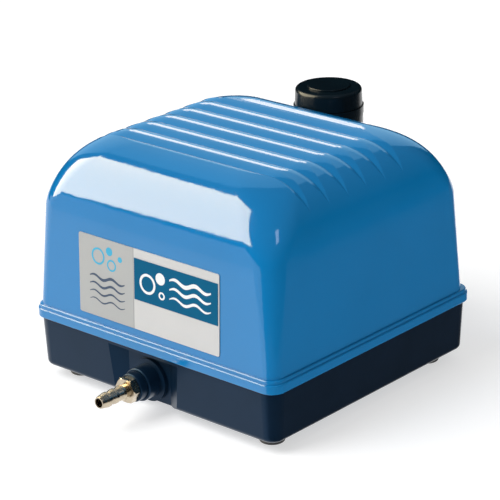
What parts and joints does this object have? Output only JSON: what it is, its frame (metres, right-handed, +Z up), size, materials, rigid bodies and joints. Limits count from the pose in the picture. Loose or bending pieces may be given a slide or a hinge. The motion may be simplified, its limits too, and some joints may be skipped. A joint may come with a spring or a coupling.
{
  "type": "air pump",
  "caption": "Electromagnetic diaphragm air pump with a ridged plastic cover, a base tray on rubber feet, a rear intake filter and a barbed brass air outlet.",
  "frame": {"origin": "on the floor, under the centre of the housing", "axes": "+Z up, +X to the right along the label face, -Y to the front, where the hose tail is"},
  "size_m": [0.19, 0.2416, 0.1535],
  "materials": {
    "blue_cover": "glossy moulded blue ABS",
    "black_plastic": "satin moulded black plastic",
    "black_cap": "semi-gloss moulded black plastic",
    "label_grey": "satin printed film",
    "label_blue": "satin printed film, teal blue",
    "brass": "turned brass, slightly dull",
    "rubber": "moulded black rubber",
    "foam": "open-cell filter foam",
    "steel": "zinc-plated steel",
    "laminations": "stacked silicon-steel laminations, varnished",
    "copper": "enamelled copper wire",
    "white_nylon": "natural nylon moulding",
    "zinc_plate": "zinc-plated pressed steel",
    "head_alloy": "die-cast aluminium",
    "magnet": "nickel-plated magnet",
    "grey_plastic": "grey moulded plastic",
    "valve_rubber": "thin rubber sheet",
    "lead_insulation": "wire insulation"
  },
  "bodies": {
    "housing": {"top_cover": "blue_cover", "cover_gasket": "rubber", "base_tray": "black_plastic", "cover_screws": "steel", "label_plate": "label_grey", "label_band": "label_blue", "foot_front_left": "rubber", "foot_front_right": "rubber", "foot_rear_left": "rubber", "foot_rear_right": "rubber", "outlet_socket": "black_plastic", "outlet_ring": "black_plastic", "outlet_seal": "rubber", "hose_tail": "brass", "outlet_pipe": "rubber", "filter_canister": "black_cap", "canister_seal": "rubber", "air_chamber": "grey_plastic", "chamber_gasket": "rubber", "chamber_lid": "grey_plastic", "chamber_screws": "steel", "damper_front_left": "rubber", "damper_front_right": "rubber", "damper_rear_left": "rubber", "damper_rear_right": "rubber", "motor_plate": "zinc_plate", "core_bracket_front": "zinc_plate", "core_bracket_rear": "zinc_plate", "bracket_screws": "steel", "magnet_core_front": "laminations", "magnet_core_rear": "laminations", "coil_bobbin_front": "white_nylon", "coil_bobbin_rear": "white_nylon", "coil_winding_front": "copper", "coil_winding_rear": "copper", "diaphragm_left": "valve_rubber", "diaphragm_right": "valve_rubber", "pump_head_left": "head_alloy", "pump_head_right": "head_alloy", "head_cover_left": "grey_plastic", "head_cover_right": "grey_plastic", "head_screws": "steel", "head_hose_left": "rubber", "head_hose_right": "rubber", "terminal_block": "white_nylon", "cable_gland": "black_plastic", "gland_nut": "black_plastic", "coil_lead_rear": "lead_insulation", "coil_lead_front": "lead_insulation"},
    "cap_and_foam": {"filter_cap": "black_cap", "filter_foam": "foam"},
    "armature": {"armature_carrier": "white_nylon", "armature_magnets": "magnet", "clamp_discs": "head_alloy", "rod_nuts": "steel"},
    "intake_valve_left": {"intake_flap_left": "valve_rubber"},
    "intake_valve_right": {"intake_flap_right": "valve_rubber"},
    "outlet_valve_left": {"outlet_flap_left": "valve_rubber"},
    "outlet_valve_right": {"outlet_flap_right": "valve_rubber"}
  },
  "joints": [
    {"name": "filter_cap_lift", "type": "slide", "parent": "housing", "child": "cap_and_foam", "axis": [0, 0, 1], "range_m": [0, 0.045]},
    {"name": "armature_slide", "type": "slide", "parent": "housing", "child": "armature", "axis": [1, 0, 0], "range_m": [-0.002, 0.002], "stiffness_N_per_m": 8000, "deforming": ["diaphragm_left", "diaphragm_right"]},
    {"name": "intake_flap_left_swing", "type": "hinge", "parent": "housing", "child": "intake_valve_left", "pos_m": [-0.06, -0.01, 0.1045], "axis": [0, -1, 0], "range_deg": [0, 10], "stiffness_Nm_per_rad": 0.002},
    {"name": "intake_flap_right_swing", "type": "hinge", "parent": "housing", "child": "intake_valve_right", "pos_m": [0.06, -0.01, 0.1045], "axis": [0, 1, 0], "range_deg": [0, 10], "stiffness_Nm_per_rad": 0.002},
    {"name": "outlet_flap_left_swing", "type": "hinge", "parent": "housing", "child": "outlet_valve_left", "pos_m": [-0.0625, -0.01, 0.0805], "axis": [0, 1, 0], "range_deg": [0, 10], "stiffness_Nm_per_rad": 0.002},
    {"name": "outlet_flap_right_swing", "type": "hinge", "parent": "housing", "child": "outlet_valve_right", "pos_m": [0.0625, -0.01, 0.0805], "axis": [0, -1, 0], "range_deg": [0, 10], "stiffness_Nm_per_rad": 0.002}
  ]
}
